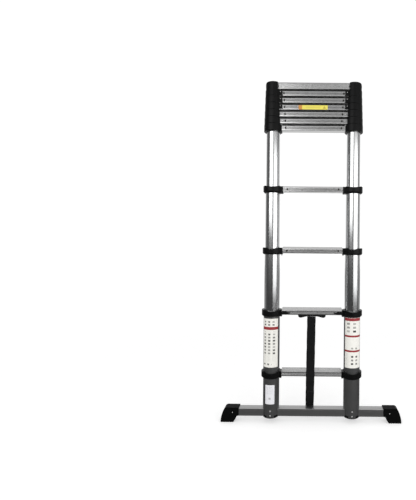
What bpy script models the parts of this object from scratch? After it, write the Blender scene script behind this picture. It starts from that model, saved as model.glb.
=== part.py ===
"""Telescoping ladder, partly pulled out: metres, +Z up, front towards -Y.

The origin is on the floor, midway between the two feet. Rungs are numbered from the floor. Rungs 1 and 2 sit on
the outer tubes. Every further rung tops its own pair of tubes, which slides inside the pair below it. Rungs 3 to 5
stand pulled out, and the others are stacked on rung 5.
"""
import math

import bmesh
import bpy
from mathutils import Matrix, Vector

# ---- driving dimensions -------------------------------------------------------------------------------------
RUNG_COUNT = 11            # rungs in all
FIXED_RUNGS = 2            # rungs on the outer tubes
TOP_EXTENDED = 5           # the highest rung that stands pulled out
RUNG_1_Z = 0.2215          # underside of the first rung
PITCH = 0.296              # rung to rung, pulled out
STACK_PITCH = 0.0333       # rung to rung, stacked

TUBE_X = 0.195             # tube axes are at plus and minus this
OUTER_TUBE_RADIUS = 0.039
RADIUS_STEP = 0.0021       # each section's tube is this much smaller in radius
TUBE_WALL = 0.0015
SLIDE_TUBE_LENGTH = 0.400
OUTER_TUBE_BOTTOM = 0.026
TUBE_SIDES = 24

COLLAR_RADIUS = 0.048      # rungs 1 and 2
COLLAR_STEP = 0.00105      # each higher collar is this much smaller in radius
COLLAR_HEIGHT = 0.033
COLLAR_DROP = 0.006        # a collar's underside is this far below its rung's
FIXED_COLLAR_DROP = 0.0085 # the same for the collars on the outer tubes
COLLAR_LIP = 0.0095        # the collar's solid top, over its tube's end, that guides the next tube
COLLAR_INNER_WALL = 0.0022 # a collar is cut flat on the rung's side, this far from its tube
BUSH_GAP = 0.0005          # running gap between a lip and the tube that slides through it
SEAT_GAP = 0.0003          # gap between fixed pieces that touch
CAP_HEIGHT = 0.035         # the top caps are a little taller than the collars
CAP_ROOF = 0.006           # thickness of the top caps over their tubes
CAP_ROUND = 0.013          # rounding of the top caps' rims

NECKED_RUNGS = 4           # rungs 1 to 4 stand off their collars on a neck with a flange
NECKED_END_X = 0.1443      # half length of those rungs
FLANGED_RUNG = 5           # this rung has a flange and nearly no neck
FLANGED_END_X = 0.1529
FLANGE_THICKNESS = 0.0042
TONGUED_RUNGS = (3, 4, 5)  # a tongue hangs from the front of their flanges, over the flange below
TONGUE_DROP = 0.011        # the tongue's tip is this far below the rung's underside
TONGUE_THICKNESS = 0.0032
COVERED_RUNGS = (8, 9, 10) # their ends are covered at the front by a plate of the collar
COVER_INNER_X = 0.1510
COVER_THICKNESS = 0.003
COVER_BOTTOM = 0.003
COVER_TOP = 0.022

RUNG_DEPTH = 0.038
RUNG_FRONT = 0.0225        # height of a rung's front face
RUNG_REAR = 0.0320         # height of its rear face, so the tread rises backwards
TOP_RUNG_FRONT = 0.0318
RUNG_WALL = 0.0020
SPIGOT_LENGTH = 0.018      # the collars' spigots inside the hollow rungs
SPIGOT_HEIGHT = 0.016

BAR_HALF_LENGTH = 0.385
BAR_DEPTH = 0.040
BAR_BOTTOM = 0.030
BAR_TOP = 0.066
BAR_WALL = 0.0022

FOOT_DEPTH = 0.046
FOOT_INNER_X = 0.348
FOOT_OUTLINE = [           # x, z of the right foot, counter-clockwise seen from the front
    (0.3740, 0.0000), (0.4330, 0.0000), (0.4348, 0.0030), (0.4342, 0.0120), (0.4325, 0.0240),
    (0.4290, 0.0370), (0.4235, 0.0530), (0.4180, 0.0640), (0.4130, 0.0690), (0.4070, 0.0705),
    (0.3480, 0.0705), (0.3480, 0.0315), (0.3580, 0.0290), (0.3620, 0.0180), (0.3690, 0.0070),
]

LEVER_TRAVEL = 0.009
LEVER_LENGTH = 0.030
LEVER_HEIGHT = 0.014
LEVER_THICKNESS = 0.005
LEVER_INNER_X = 0.111      # the inner end of the right thumb piece at rest
LEVER_STEM_X = 0.117       # the right stem's middle at rest
LEVER_Z = 0.0090           # centre height above the rung's underside
LOCK_PIN_RADIUS = 0.0040
LOCK_PIN_BORE = 0.0046
LOCK_PIN_GAP = 0.0005      # the pin's tip to the tube that it locks
LEVER_STEM = 0.006         # side of the square stem through the rung's slot

BRACKET_HALF_WIDTH = 0.067
BRACKET_FRONT = -0.0228    # y of its front face
BRACKET_DEPTH = 0.036
BRACKET_THICK = 0.0060     # at the middle
BRACKET_DROOP = 0.0125     # at the rounded ends

STRAP_WIDTH = 0.042
STRAP_THICKNESS = 0.0020
STRAP_TOP_X = -0.002       # the strap hangs a little left of the middle
STRAP_END_X = -0.008
STRAP_ROUTE = [            # y, z of the strap's middle line, from the bracket to its hidden end
    (-0.0205, 0.5106), (-0.0208, 0.4900), (-0.0214, 0.4400), (-0.0218, 0.3800), (-0.0219, 0.3200),
    (-0.0218, 0.2700), (-0.0216, 0.2300), (-0.0204, 0.2050), (-0.0150, 0.1750), (-0.0060, 0.1480),
    (0.0050, 0.1220), (0.0150, 0.0980), (0.0210, 0.0780), (0.0232, 0.0560), (0.0232, 0.0300),
]
STRAP_POINTS = 44

# ---- sizes that follow from them ----------------------------------------------------------------------------
TOOL = 0.0002              # how far a cutter or an overlap runs past a face


def rung_z(number):
    """Height of a rung's underside."""
    extended = min(number, TOP_EXTENDED) - 1
    stacked = max(number - TOP_EXTENDED, 0)
    return RUNG_1_Z + extended * PITCH + stacked * STACK_PITCH


def tube_radius(number):
    """Outer radius of the tube that carries a rung."""
    return OUTER_TUBE_RADIUS - max(number - FIXED_RUNGS, 0) * RADIUS_STEP


def collar_radius(number):
    """Outer radius of the collar at a rung's end."""
    return COLLAR_RADIUS - max(number - FIXED_RUNGS, 0) * COLLAR_STEP


def collar_flat_x(number):
    """Distance from the middle at which a right-hand collar is cut flat on its rung's side."""
    return TUBE_X - tube_radius(number) - SEAT_GAP - COLLAR_INNER_WALL


def rung_end_x(number):
    """Half the length of a rung."""
    if number <= NECKED_RUNGS:
        return NECKED_END_X
    if number == FLANGED_RUNG:
        return FLANGED_END_X
    return collar_flat_x(number) - SEAT_GAP


def collar_bottom(number):
    """Height of a collar's underside."""
    return rung_z(number) - (FIXED_COLLAR_DROP if number <= FIXED_RUNGS else COLLAR_DROP)


def collar_top(number):
    """Height of a collar's top face."""
    return collar_bottom(number) + (CAP_HEIGHT if number == RUNG_COUNT else COLLAR_HEIGHT)


def tube_top(number):
    """Height of the top end of the tube that carries a rung."""
    cover = CAP_ROOF if number == RUNG_COUNT else COLLAR_LIP
    return collar_top(number) - cover - SEAT_GAP


# ---- scene and helpers --------------------------------------------------------------------------------------
for old in list(bpy.data.objects):
    bpy.data.objects.remove(old, do_unlink=True)

parts = bpy.data.collections.new("telescoping_ladder")
cutters = bpy.data.collections.new("cutters")
bpy.context.scene.collection.children.link(parts)
bpy.context.scene.collection.children.link(cutters)


def material(name, color, roughness, metallic):
    """A Principled material."""
    made = bpy.data.materials.new(name)
    made.use_nodes = True
    shader = made.node_tree.nodes["Principled BSDF"]
    shader.inputs["Base Color"].default_value = (*color, 1.0)
    shader.inputs["Roughness"].default_value = roughness
    shader.inputs["Metallic"].default_value = metallic
    made.diffuse_color = (*color, 1.0)
    return made


OUTER_TUBE_GREY = ((0.115, 0.120, 0.122), 0.42, 0.6)
BRIGHT_ALUMINIUM = ((0.74, 0.75, 0.76), 0.26, 1.0)
RUNG_ALUMINIUM = ((0.50, 0.51, 0.52), 0.38, 0.9)
BLACK_NYLON = ((0.012, 0.013, 0.014), 0.48, 0.0)
BLACK_RUBBER = ((0.010, 0.010, 0.010), 0.62, 0.0)
BLACK_WEBBING = ((0.014, 0.014, 0.015), 0.85, 0.0)


def add_object(name, mesh, look, smooth=False):
    """Put a mesh in the parts collection with a material of its own."""
    made = bpy.data.objects.new(name, mesh)
    made.data.materials.append(material(name, *look))
    parts.objects.link(made)
    if smooth:
        mesh.shade_smooth()
        mesh.set_sharp_from_angle(angle=math.radians(35))
    return made


def add_cutter(name, mesh):
    """Put a mesh in the cutters collection."""
    made = bpy.data.objects.new(name, mesh)
    made.hide_render = True
    made.display_type = "WIRE"
    cutters.objects.link(made)
    return made


def combine(target, tool, operation):
    """Cut one object with another, or join them."""
    modifier = target.modifiers.new(operation.lower(), "BOOLEAN")
    modifier.operation = operation
    modifier.object = tool
    modifier.solver = "EXACT"


def box_mesh(name, low, high):
    """A box between two corners."""
    shape = bmesh.new()
    size = Vector(high) - Vector(low)
    centre = (Vector(high) + Vector(low)) / 2
    bmesh.ops.create_cube(shape, size=1.0, matrix=Matrix.Translation(centre) @ Matrix.Diagonal((*size, 1.0)))
    mesh = bpy.data.meshes.new(name)
    shape.to_mesh(mesh)
    shape.free()
    return mesh


def rod_mesh(name, centre, direction, radius, length, sides=16):
    """A cylinder centred on a point, along a direction."""
    shape = bmesh.new()
    turn = Vector(direction).to_track_quat("Z", "Y").to_matrix().to_4x4()
    bmesh.ops.create_cone(shape, cap_ends=True, segments=sides, radius1=radius, radius2=radius, depth=length,
                          matrix=Matrix.Translation(centre) @ turn)
    mesh = bpy.data.meshes.new(name)
    shape.to_mesh(mesh)
    shape.free()
    return mesh


def evaluated_mesh(source):
    """The mesh of an object with its modifiers applied."""
    graph = bpy.context.evaluated_depsgraph_get()
    return bpy.data.meshes.new_from_object(source.evaluated_get(graph))


def turned_mesh(name, profile, sides=TUBE_SIDES):
    """Turn a closed (radius, height) outline about Z with a Screw modifier and return the mesh.

    The outline starts at its outer top corner and runs down the outer side.
    """
    outline = bmesh.new()
    points = [outline.verts.new((radius, 0.0, height)) for radius, height in profile]
    for first, second in zip(points, points[1:] + points[:1]):
        outline.edges.new((first, second))
    mesh = bpy.data.meshes.new(name)
    outline.to_mesh(mesh)
    outline.free()
    turning = bpy.data.objects.new(name, mesh)
    bpy.context.scene.collection.objects.link(turning)
    screw = turning.modifiers.new("turn", "SCREW")
    screw.steps = sides
    screw.render_steps = sides
    screw.use_merge_vertices = True
    screw.merge_threshold = 0.00002
    screw.use_smooth_shade = False
    result = evaluated_mesh(turning)
    bpy.data.objects.remove(turning)
    return result


def outline_mesh(name, points, half_depth, along_y=True):
    """Extrude a closed flat outline both ways.

    The outline is in X and Z and is extruded along Y, or it is in Y and Z and is extruded along X.
    """
    curve = bpy.data.curves.new(name, "CURVE")
    curve.dimensions = "2D"
    curve.fill_mode = "BOTH"
    curve.extrude = half_depth
    spline = curve.splines.new("POLY")
    spline.points.add(len(points) - 1)
    for point, (across, up) in zip(spline.points, points):
        point.co = (across, up, 0.0, 1.0)
    spline.use_cyclic_u = True
    drawn = bpy.data.objects.new(name, curve)
    bpy.context.scene.collection.objects.link(drawn)
    drawn.rotation_euler = (math.pi / 2, 0.0, 0.0 if along_y else math.pi / 2)
    bpy.context.view_layer.update()
    mesh = evaluated_mesh(drawn)
    mesh.transform(drawn.matrix_world)
    bpy.data.objects.remove(drawn)
    shape = bmesh.new()
    shape.from_mesh(mesh)
    bmesh.ops.remove_doubles(shape, verts=shape.verts, dist=0.00002)
    bmesh.ops.recalc_face_normals(shape, faces=shape.faces)
    shape.to_mesh(mesh)
    shape.free()
    return mesh


# ---- tubes --------------------------------------------------------------------------------------------------
def tube_mesh(name, radius, bottom, top):
    """A plain round tube."""
    bore = radius - TUBE_WALL
    return turned_mesh(name, [(radius, top), (radius, bottom), (bore, bottom), (bore, top)])


def make_outer_tube(side, sign):
    """An outer tube, with windows for the base bar and a hole for the lock pin."""
    bottom, top = OUTER_TUBE_BOTTOM, tube_top(FIXED_RUNGS)
    tube = add_object("outer_tube_" + side, tube_mesh("outer_tube_" + side, OUTER_TUBE_RADIUS, bottom, top),
                      OUTER_TUBE_GREY, smooth=True)
    tube.location.x = sign * TUBE_X
    reach = OUTER_TUBE_RADIUS + 0.01
    window = box_mesh("bar_window_" + side,
                      (sign * TUBE_X - reach, -BAR_DEPTH / 2 - SEAT_GAP, BAR_BOTTOM - SEAT_GAP),
                      (sign * TUBE_X + reach, BAR_DEPTH / 2 + SEAT_GAP, BAR_TOP + SEAT_GAP))
    combine(tube, add_cutter("bar_window_" + side, window), "DIFFERENCE")
    hole = rod_mesh("pin_hole_" + side, (sign * (TUBE_X - OUTER_TUBE_RADIUS), 0.0, rung_z(2) + LEVER_Z),
                    (1, 0, 0), LOCK_PIN_BORE, 0.02)
    combine(tube, add_cutter("pin_hole_" + side, hole), "DIFFERENCE")


def make_slide_tube(number, side, sign):
    """A sliding tube, its origin on its own axis."""
    top = tube_top(number)
    name = "slide_tube_%02d_%s" % (number, side)
    tube = add_object(name, tube_mesh(name, tube_radius(number), top - SLIDE_TUBE_LENGTH, top),
                      BRIGHT_ALUMINIUM, smooth=True)
    tube.location.x = sign * TUBE_X


# ---- collars ------------------------------------------------------------------------------------------------
def collar_profile(number):
    """Half section of a collar: a plain sleeve, a sleeve with a top lip, or a closed cap."""
    outer = collar_radius(number)
    seat = tube_radius(number) + SEAT_GAP
    low = collar_bottom(number)
    high = collar_top(number)
    if number < FIXED_RUNGS:
        return [(outer, high), (outer, low), (seat, low), (seat, high)]
    if number == RUNG_COUNT:
        roof = high - CAP_ROOF
        rim = [(outer - CAP_ROUND * (1 - math.sin(angle)), high - CAP_ROUND * (1 - math.cos(angle)))
               for angle in (math.radians(step) for step in (0, 25, 50, 75, 90))]
        return [(0.0, high)] + rim + [(outer, low), (seat, low), (seat, roof), (0.0, roof)]
    lip = tube_radius(number + 1) + BUSH_GAP
    step = high - COLLAR_LIP
    return [(outer, high), (outer, low), (seat, low), (seat, step), (lip, step), (lip, high)]


def collar_blocks(number):
    """Corners of the boxes that are joined to a right-hand collar: spigot, neck, flange, tongue and cover plate."""
    low = rung_z(number)
    half = RUNG_DEPTH / 2
    face = rung_end_x(number) + SEAT_GAP
    inside = TUBE_X - tube_radius(number) - SEAT_GAP - COLLAR_INNER_WALL / 2
    blocks = {
        "spigot": ((face - SPIGOT_LENGTH, -half + RUNG_WALL + SEAT_GAP, low + RUNG_WALL + SEAT_GAP),
                   (inside, half - RUNG_WALL - SEAT_GAP, low + RUNG_WALL + SEAT_GAP + SPIGOT_HEIGHT)),
    }
    bottom, top = collar_bottom(number), collar_top(number)
    flange_front = -half - FLANGE_THICKNESS / 2
    if number <= FLANGED_RUNG:
        blocks["neck"] = ((face + TOOL, -half + TOOL, bottom + TOOL), (inside, half - TOOL, top - TOOL))
        blocks["flange"] = ((face, flange_front, bottom), (face + FLANGE_THICKNESS, half, top))
    if number in TONGUED_RUNGS:
        root = flange_front + TOOL
        tip = flange_front - SEAT_GAP
        blocks["tongue_root"] = ((face + TOOL, tip - TONGUE_THICKNESS + SEAT_GAP, bottom + TOOL),
                                 (face + FLANGE_THICKNESS - TOOL, root, low + TONGUE_THICKNESS))
        blocks["tongue"] = ((face + TOOL * 2, tip - TONGUE_THICKNESS + SEAT_GAP + TOOL, low - TONGUE_DROP),
                            (face + FLANGE_THICKNESS - TOOL * 2, tip, low))
    if number in COVERED_RUNGS:
        blocks["cover"] = ((COVER_INNER_X, -half - COVER_THICKNESS - SEAT_GAP, low + COVER_BOTTOM),
                           (collar_flat_x(number) + COLLAR_INNER_WALL / 2, -half - SEAT_GAP, low + COVER_TOP))
    return blocks


def make_collar(number, side, sign):
    """A collar: a turned sleeve, cut flat on its rung's side, with the blocks that hold its rung."""
    name = "top_cap_" + side if number == RUNG_COUNT else "collar_%02d_%s" % (number, side)
    collar = add_object(name, turned_mesh(name, collar_profile(number)), BLACK_NYLON, smooth=True)
    collar.location.x = sign * TUBE_X
    low = rung_z(number)
    flat_x = collar_flat_x(number)
    edges = sorted((sign * flat_x, sign * (flat_x - COLLAR_RADIUS)))
    flat = box_mesh(name + "_flat", (edges[0], -COLLAR_RADIUS, collar_bottom(number) - COLLAR_LIP),
                    (edges[1], COLLAR_RADIUS, collar_top(number) + COLLAR_LIP))
    combine(collar, add_cutter(name + "_flat", flat), "DIFFERENCE")
    for block, (inner, outer) in collar_blocks(number).items():
        edges = sorted((sign * inner[0], sign * outer[0]))
        mesh = box_mesh(name + "_" + block, (edges[0], inner[1], inner[2]), (edges[1], outer[1], outer[2]))
        combine(collar, add_cutter(name + "_" + block, mesh), "UNION")
    if number == FIXED_RUNGS:
        bore = rod_mesh(name + "_pin_bore", (sign * (TUBE_X - 0.045), 0.0, low + LEVER_Z), (1, 0, 0),
                        LOCK_PIN_BORE, 0.060)
        combine(collar, add_cutter(name + "_pin_bore", bore), "DIFFERENCE")


# ---- rungs --------------------------------------------------------------------------------------------------
def rung_outline(low, front, rear, inset):
    """Section of a rung in Y and Z, drawn in by an inset, with a small chamfer at its front top edge."""
    half = RUNG_DEPTH / 2 - inset
    chamfer = 0.002
    return [(-half, low + inset), (half, low + inset), (half, low + rear - inset),
            (-half + chamfer, low + front - inset + chamfer * (rear - front) / RUNG_DEPTH),
            (-half, low + front - inset - chamfer)]


def make_rung(number):
    """A hollow rung, with slots for the thumb levers on the second one."""
    name = "rung_%02d" % number
    low = rung_z(number)
    front = TOP_RUNG_FRONT if number == RUNG_COUNT else RUNG_FRONT
    outer = rung_outline(low, front, RUNG_REAR, 0.0)
    end_x = rung_end_x(number)
    rung = add_object(name, outline_mesh(name, outer, end_x, along_y=False), RUNG_ALUMINIUM)
    inner = outline_mesh(name + "_hollow", rung_outline(low, front, RUNG_REAR, RUNG_WALL), end_x + 0.01,
                         along_y=False)
    combine(rung, add_cutter(name + "_hollow", inner), "DIFFERENCE")
    if number != FIXED_RUNGS:
        return
    for side, sign in (("left", -1), ("right", 1)):
        ends = sorted((sign * (LEVER_STEM_X - LEVER_TRAVEL - LEVER_STEM / 2 - 0.001),
                       sign * (LEVER_STEM_X + LEVER_STEM / 2 + 0.001)))
        middle = low + LEVER_Z
        slot = box_mesh("lever_slot_" + side,
                        (ends[0], -RUNG_DEPTH / 2 - 0.01, middle - LEVER_STEM / 2 - BUSH_GAP),
                        (ends[1], -RUNG_DEPTH / 2 + 0.01, middle + LEVER_STEM / 2 + BUSH_GAP))
        combine(rung, add_cutter("lever_slot_" + side, slot), "DIFFERENCE")


# ---- thumb levers -------------------------------------------------------------------------------------------
def make_lever(side, sign):
    """A thumb piece, its stem through the rung's face, and the lock pin that it pulls."""
    middle = rung_z(FIXED_RUNGS) + LEVER_Z
    front = -RUNG_DEPTH / 2 - SEAT_GAP
    centre_x = LEVER_INNER_X + LEVER_LENGTH / 2
    half, rise = LEVER_LENGTH / 2, LEVER_HEIGHT / 2
    outline = [(sign * centre_x + half * math.cos(angle), middle + rise * math.sin(angle))
               for angle in (2 * math.pi * step / 20 for step in range(20))]
    mesh = outline_mesh("release_lever_" + side, outline, LEVER_THICKNESS / 2)
    mesh.transform(Matrix.Translation((0.0, front - LEVER_THICKNESS / 2, 0.0)))
    lever = add_object("release_lever_" + side, mesh, BLACK_NYLON, smooth=True)
    stem_x = sorted((sign * (LEVER_STEM_X - LEVER_STEM / 2), sign * (LEVER_STEM_X + LEVER_STEM / 2)))
    stem = box_mesh("lever_stem_" + side, (stem_x[0], front - TOOL, middle - LEVER_STEM / 2),
                    (stem_x[1], LOCK_PIN_RADIUS / 2, middle + LEVER_STEM / 2))
    combine(lever, add_cutter("lever_stem_" + side, stem), "UNION")
    tip = TUBE_X - tube_radius(FIXED_RUNGS + 1) - LOCK_PIN_GAP
    start = LEVER_STEM_X - LEVER_STEM
    pin = rod_mesh("lock_pin_" + side, (sign * (tip + start) / 2, 0.0, middle), (1, 0, 0), LOCK_PIN_RADIUS,
                   tip - start)
    combine(lever, add_cutter("lock_pin_" + side, pin), "UNION")


# ---- base bar, feet, strap ----------------------------------------------------------------------------------
def make_base_bar():
    """A hollow rectangular bar through both outer tubes."""
    half = BAR_DEPTH / 2
    bar = add_object("base_bar", box_mesh("base_bar", (-BAR_HALF_LENGTH, -half, BAR_BOTTOM),
                                          (BAR_HALF_LENGTH, half, BAR_TOP)), RUNG_ALUMINIUM)
    hollow = box_mesh("bar_hollow", (-BAR_HALF_LENGTH - 0.01, -half + BAR_WALL, BAR_BOTTOM + BAR_WALL),
                      (BAR_HALF_LENGTH + 0.01, half - BAR_WALL, BAR_TOP - BAR_WALL))
    combine(bar, add_cutter("bar_hollow", hollow), "DIFFERENCE")


def make_foot(side, sign):
    """A foot with a socket for the end of the base bar."""
    name = "foot_" + side
    outline = [(sign * across, up) for across, up in FOOT_OUTLINE]
    foot = add_object(name, outline_mesh(name, outline, FOOT_DEPTH / 2), BLACK_RUBBER)
    ends = sorted((sign * (FOOT_INNER_X - 0.01), sign * (BAR_HALF_LENGTH + SEAT_GAP)))
    half = BAR_DEPTH / 2 + SEAT_GAP
    socket = box_mesh(name + "_socket", (ends[0], -half, BAR_BOTTOM - SEAT_GAP),
                      (ends[1], half, BAR_TOP + SEAT_GAP))
    combine(foot, add_cutter(name + "_socket", socket), "DIFFERENCE")


def make_strap_bracket():
    """The bracket under the second rung: thin in the middle, with rounded ends that droop."""
    top = rung_z(FIXED_RUNGS) - SEAT_GAP
    steps = 8
    right_half = []
    for step in range(steps + 1):
        across = 0.020 + (BRACKET_HALF_WIDTH - 0.010 - 0.020) * step / steps
        droop = BRACKET_THICK + (BRACKET_DROOP - BRACKET_THICK) * math.sin(math.pi / 2 * step / steps) ** 2
        right_half.append((across, top - droop))
    right_half += [(BRACKET_HALF_WIDTH - 0.003, top - BRACKET_DROOP * 0.72), (BRACKET_HALF_WIDTH, top - 0.0020),
                   (BRACKET_HALF_WIDTH - 0.002, top)]
    left_half = [(-across, up) for across, up in reversed(right_half)]
    bracket = outline_mesh("strap_bracket", left_half + right_half, BRACKET_DEPTH / 2)
    bracket.transform(Matrix.Translation((0.0, BRACKET_FRONT + BRACKET_DEPTH / 2, 0.0)))
    add_object("strap_bracket", bracket, BLACK_NYLON)


def smooth_route(route, count):
    """Points spaced evenly on a smooth curve through a route's points."""
    points = [Vector(point) for point in route]
    ends = [2 * points[0] - points[1]] + points + [2 * points[-1] - points[-2]]
    dense = []
    for index in range(1, len(ends) - 2):
        before, start, end, after = ends[index - 1:index + 3]
        for step in range(20):
            t = step / 20
            dense.append(0.5 * (2 * start + (end - before) * t + (2 * before - 5 * start + 4 * end - after) * t ** 2
                                + (3 * start - before - 3 * end + after) * t ** 3))
    dense.append(points[-1])
    travelled = [0.0]
    for first, second in zip(dense, dense[1:]):
        travelled.append(travelled[-1] + (second - first).length)
    result = []
    index = 0
    for step in range(count):
        target = travelled[-1] * step / (count - 1)
        while index < len(dense) - 2 and travelled[index + 1] < target:
            index += 1
        span = travelled[index + 1] - travelled[index]
        result.append(dense[index].lerp(dense[index + 1], (target - travelled[index]) / span))
    return result


def make_strap():
    """The webbing strap, a flat band along its route."""
    line = smooth_route(STRAP_ROUTE, STRAP_POINTS)
    front_side, rear_side = [], []
    for index, point in enumerate(line):
        along = (line[min(index + 1, len(line) - 1)] - line[max(index - 1, 0)]).normalized()
        across = Vector((-along.y, along.x)) * STRAP_THICKNESS / 2
        front_side.append(tuple(point - across))
        rear_side.append(tuple(point + across))
    band = outline_mesh("strap", front_side + rear_side[::-1], STRAP_WIDTH / 2, along_y=False)
    top, end = line[0].y, line[-1].y
    slant = Matrix.Identity(4)
    slant[0][2] = (STRAP_TOP_X - STRAP_END_X) / (top - end)
    slant[0][3] = STRAP_TOP_X - slant[0][2] * top
    band.transform(slant)
    add_object("strap", band, BLACK_WEBBING)


# ---- assembly -----------------------------------------------------------------------------------------------
for side_name, side_sign in (("left", -1), ("right", 1)):
    make_outer_tube(side_name, side_sign)
    make_foot(side_name, side_sign)
    make_lever(side_name, side_sign)
    for rung_number in range(1, RUNG_COUNT + 1):
        make_collar(rung_number, side_name, side_sign)
    for rung_number in range(FIXED_RUNGS + 1, RUNG_COUNT + 1):
        make_slide_tube(rung_number, side_name, side_sign)

for rung_number in range(1, RUNG_COUNT + 1):
    make_rung(rung_number)

make_base_bar()
make_strap_bracket()
make_strap()
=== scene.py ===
"""Looks of the telescoping ladder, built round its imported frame. Metres, +Z up, front towards -Y."""
import math

import bmesh
import bpy
from mathutils import Matrix, Vector


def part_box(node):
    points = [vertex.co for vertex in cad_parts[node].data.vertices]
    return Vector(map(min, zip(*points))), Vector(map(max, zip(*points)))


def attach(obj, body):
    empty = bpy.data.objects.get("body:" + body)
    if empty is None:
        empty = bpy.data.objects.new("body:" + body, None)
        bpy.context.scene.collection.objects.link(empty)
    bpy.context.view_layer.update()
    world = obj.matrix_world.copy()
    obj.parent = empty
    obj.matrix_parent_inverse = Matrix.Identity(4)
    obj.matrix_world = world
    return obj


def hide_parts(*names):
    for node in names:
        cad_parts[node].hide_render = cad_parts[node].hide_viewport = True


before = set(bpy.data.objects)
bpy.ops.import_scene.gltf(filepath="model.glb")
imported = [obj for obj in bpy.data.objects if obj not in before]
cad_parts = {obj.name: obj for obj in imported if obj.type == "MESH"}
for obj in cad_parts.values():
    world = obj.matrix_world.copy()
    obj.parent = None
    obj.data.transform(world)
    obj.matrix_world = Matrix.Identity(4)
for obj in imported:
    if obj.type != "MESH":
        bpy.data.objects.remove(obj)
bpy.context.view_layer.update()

# ---- sizes read from the frame ---------------------------------------
SIDES = (("left", -1), ("right", 1))
RUNG_COUNT = sum(1 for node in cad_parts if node.startswith("rung_"))
FIXED_RUNGS = 2                  # rungs on the outer tubes; every other rung slides with its own tubes
TUBE_X = sum(corner.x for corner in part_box("outer_tube_right")) / 2
COLLAR_HEIGHT = 0.033
COLLAR_DROP = 0.006              # a collar's underside is this far below its rung's
FIXED_COLLAR_DROP = 0.0085       # the same for the collars on the outer tubes
PIN_RADIUS = 0.0046              # bore for a release lever's lock pin
PIN_HEIGHT = 0.009               # its middle above the second rung's underside
SEAT_GAP = 0.0003                # between fixed pieces that touch
BUSH_GAP = 0.0005                # between a lip and the tube that slides through it
COLLAR_LIP = 0.0095              # the collar's solid top, over its tube's end
COLLAR_INNER_WALL = 0.0022
TUBE_WALL = 0.0015
ROUND_SIDES = 96


def body_of_rung(number):
    """The body that a rung, its collars and its tubes ride on."""
    return "root" if number <= FIXED_RUNGS else "section_%02d" % number


def rung_low(number):
    """Height of a rung's underside."""
    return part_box("rung_%02d" % number)[0].z


def rung_half_length(number):
    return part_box("rung_%02d" % number)[1].x


def tube_node(number, side):
    """The tube that carries a rung."""
    return "outer_tube_" + side if number <= FIXED_RUNGS else "slide_tube_%02d_%s" % (number, side)


def tube_radius(number):
    low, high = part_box(tube_node(number, "right"))
    return (high.x - low.x) / 2


def collar_node(number, side):
    return "top_cap_" + side if number == RUNG_COUNT else "collar_%02d_%s" % (number, side)


def collar_radius(number):
    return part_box(collar_node(number, "right"))[1].x - TUBE_X


def collar_drop(number):
    return FIXED_COLLAR_DROP if number <= FIXED_RUNGS else COLLAR_DROP


def collar_flat(number):
    """Distance from a tube's axis to its collar's flat, on the rung's side."""
    return tube_radius(number) + SEAT_GAP + COLLAR_INNER_WALL


def add_object(name, data):
    """A new object in the scene."""
    made = bpy.data.objects.new(name, data)
    bpy.context.scene.collection.objects.link(made)
    return made


# ---- camera ----------------------------------------------------------
def make_camera():
    """A level camera in front of the ladder, which stands in the right half of the picture."""
    data = bpy.data.cameras.new("camera")
    data.lens = 26.38
    data.sensor_width = 36.0
    data.shift_x = -0.209
    data.shift_y = -0.0011
    data.clip_end = 60.0
    camera = add_object("camera", data)
    camera.location = (0.0, -1.782, 0.833)
    camera.rotation_euler = (math.pi / 2, -0.009, 0.0)
    bpy.context.scene.camera = camera


make_camera()


# ---- mesh helpers ----------------------------------------------------
def mesh_from(shape, name):
    """Turn a bmesh into a mesh with its faces pointing out."""
    bmesh.ops.recalc_face_normals(shape, faces=shape.faces)
    mesh = bpy.data.meshes.new(name)
    shape.to_mesh(mesh)
    shape.free()
    return mesh


def rounded(points, radius, steps=4):
    """Round the corners of a closed outline."""
    result = []
    for index, point in enumerate(points):
        corner = Vector(point)
        before = Vector(points[index - 1]) - corner
        after = Vector(points[(index + 1) % len(points)]) - corner
        reach = min(radius, before.length * 0.45, after.length * 0.45)
        start = corner + before.normalized() * reach
        end = corner + after.normalized() * reach
        for step in range(steps + 1):
            t = step / steps
            result.append(tuple(start * (1 - t) ** 2 + corner * 2 * t * (1 - t) + end * t ** 2))
    return result


def turned(name, outline, sides=ROUND_SIDES):
    """Turn a closed (radius, height) outline about Z."""
    shape = bmesh.new()
    rings = []
    for radius, height in outline:
        count = 1 if radius < 1e-6 else sides
        rings.append([shape.verts.new((radius * math.cos(2 * math.pi * step / sides),
                                       radius * math.sin(2 * math.pi * step / sides), height))
                      for step in range(count)])
    for first, second in zip(rings, rings[1:] + rings[:1]):
        if len(first) == len(second) == 1:
            continue
        for step in range(sides):
            after = (step + 1) % sides
            corners = [first[step % len(first)], first[after % len(first)],
                       second[after % len(second)], second[step % len(second)]]
            shape.faces.new(list(dict.fromkeys(corners)))
    return mesh_from(shape, name)


def prism(name, outline, low, high, axis):
    """Extrude a closed flat outline along X, Y or Z. Its own axes are the other two, in order."""
    def corner(point, along):
        across, up = point
        return {"x": (along, across, up), "y": (across, along, up), "z": (across, up, along)}[axis]

    shape = bmesh.new()
    near = [shape.verts.new(corner(point, low)) for point in outline]
    far = [shape.verts.new(corner(point, high)) for point in outline]
    shape.faces.new(near)
    shape.faces.new(far)
    for index in range(len(outline)):
        after = (index + 1) % len(outline)
        shape.faces.new([near[index], near[after], far[after], far[index]])
    return mesh_from(shape, name)


def block(name, low, high):
    """A box between two corners."""
    outline = [(low[0], low[2]), (high[0], low[2]), (high[0], high[2]), (low[0], high[2])]
    return prism(name, outline, low[1], high[1], "y")


def bevelled(mesh, width, segments=2, angle=50):
    """Round a mesh's sharp edges."""
    holder = add_object(mesh.name, mesh)
    modifier = holder.modifiers.new("round", "BEVEL")
    modifier.width = width
    modifier.segments = segments
    modifier.limit_method = "ANGLE"
    modifier.angle_limit = math.radians(angle)
    return finished(holder)


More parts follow.
